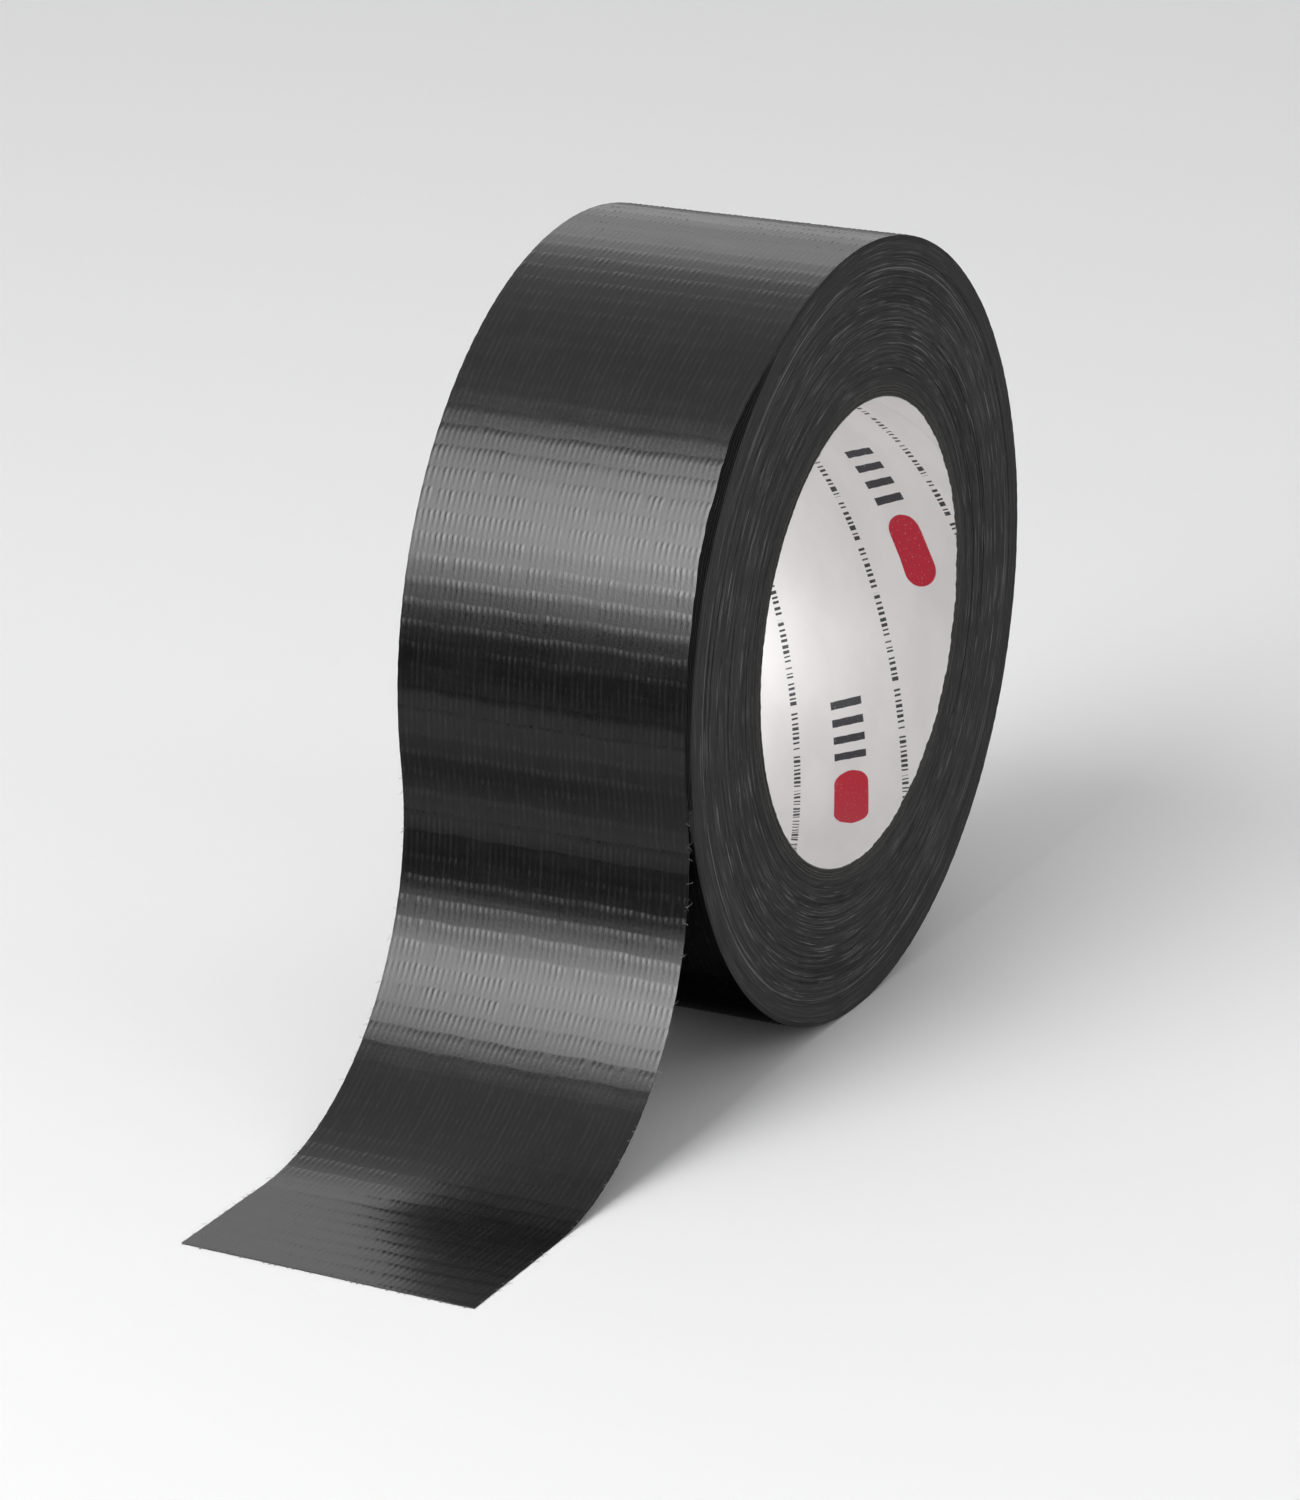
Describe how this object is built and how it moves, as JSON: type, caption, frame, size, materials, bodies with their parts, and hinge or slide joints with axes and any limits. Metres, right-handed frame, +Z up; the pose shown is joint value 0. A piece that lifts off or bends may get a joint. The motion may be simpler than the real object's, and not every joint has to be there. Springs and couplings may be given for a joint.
{
  "type": "duct tape roll",
  "caption": "Roll of black cloth-backed duct tape on a paperboard core, standing on its edge with its free end peeled off and lying flat on the ground.",
  "frame": {"origin": "on the ground, straight below the roll's axis, at the middle of its width, where the standing roll rests", "axes": "+Z up; the roll's axis runs along Y; the free end leads to -X, so +X is along the object's length"},
  "size_m": [0.1973, 0.05, 0.1278],
  "materials": {
    "liner": "satin",
    "paperboard": "matte",
    "tape_pack": "matte",
    "film": "satin",
    "scrim": "matte",
    "adhesive": "satin"
  },
  "bodies": {
    "roll": {"core_liner": "liner", "core_ply_inner": "paperboard", "core_ply_second": "paperboard", "core_ply_third": "paperboard", "core_ply_outer": "paperboard", "wound_tape": "tape_pack", "outer_turn_adhesive": "adhesive", "outer_turn_scrim": "scrim", "outer_turn_film": "film"},
    "tail_upper": {"tail_upper_adhesive": "adhesive", "tail_upper_scrim": "scrim", "tail_upper_film": "film"},
    "tail_lower": {"tail_lower_adhesive": "adhesive", "tail_lower_scrim": "scrim", "tail_lower_film": "film"},
    "tail_end": {"tail_end_adhesive": "adhesive", "tail_end_scrim": "scrim", "tail_end_film": "film"}
  },
  "joints": [
    {"name": "tail_peel", "type": "hinge", "parent": "roll", "child": "tail_upper", "pos_m": [-0.06307, 0, 0.05344], "axis": [0, 1, 0], "range_deg": [0, 60], "stiffness_Nm_per_rad": 0.002},
    {"name": "tail_bend", "type": "hinge", "parent": "tail_upper", "child": "tail_lower", "pos_m": [-0.07336, 0, 0.01628], "axis": [0, 1, 0], "range_deg": [-30, 45], "stiffness_Nm_per_rad": 0.002},
    {"name": "tail_lift", "type": "hinge", "parent": "tail_lower", "child": "tail_end", "pos_m": [-0.10835, 0, 0.00007], "axis": [0, 1, 0], "range_deg": [-45, 75], "stiffness_Nm_per_rad": 0.002}
  ]
}
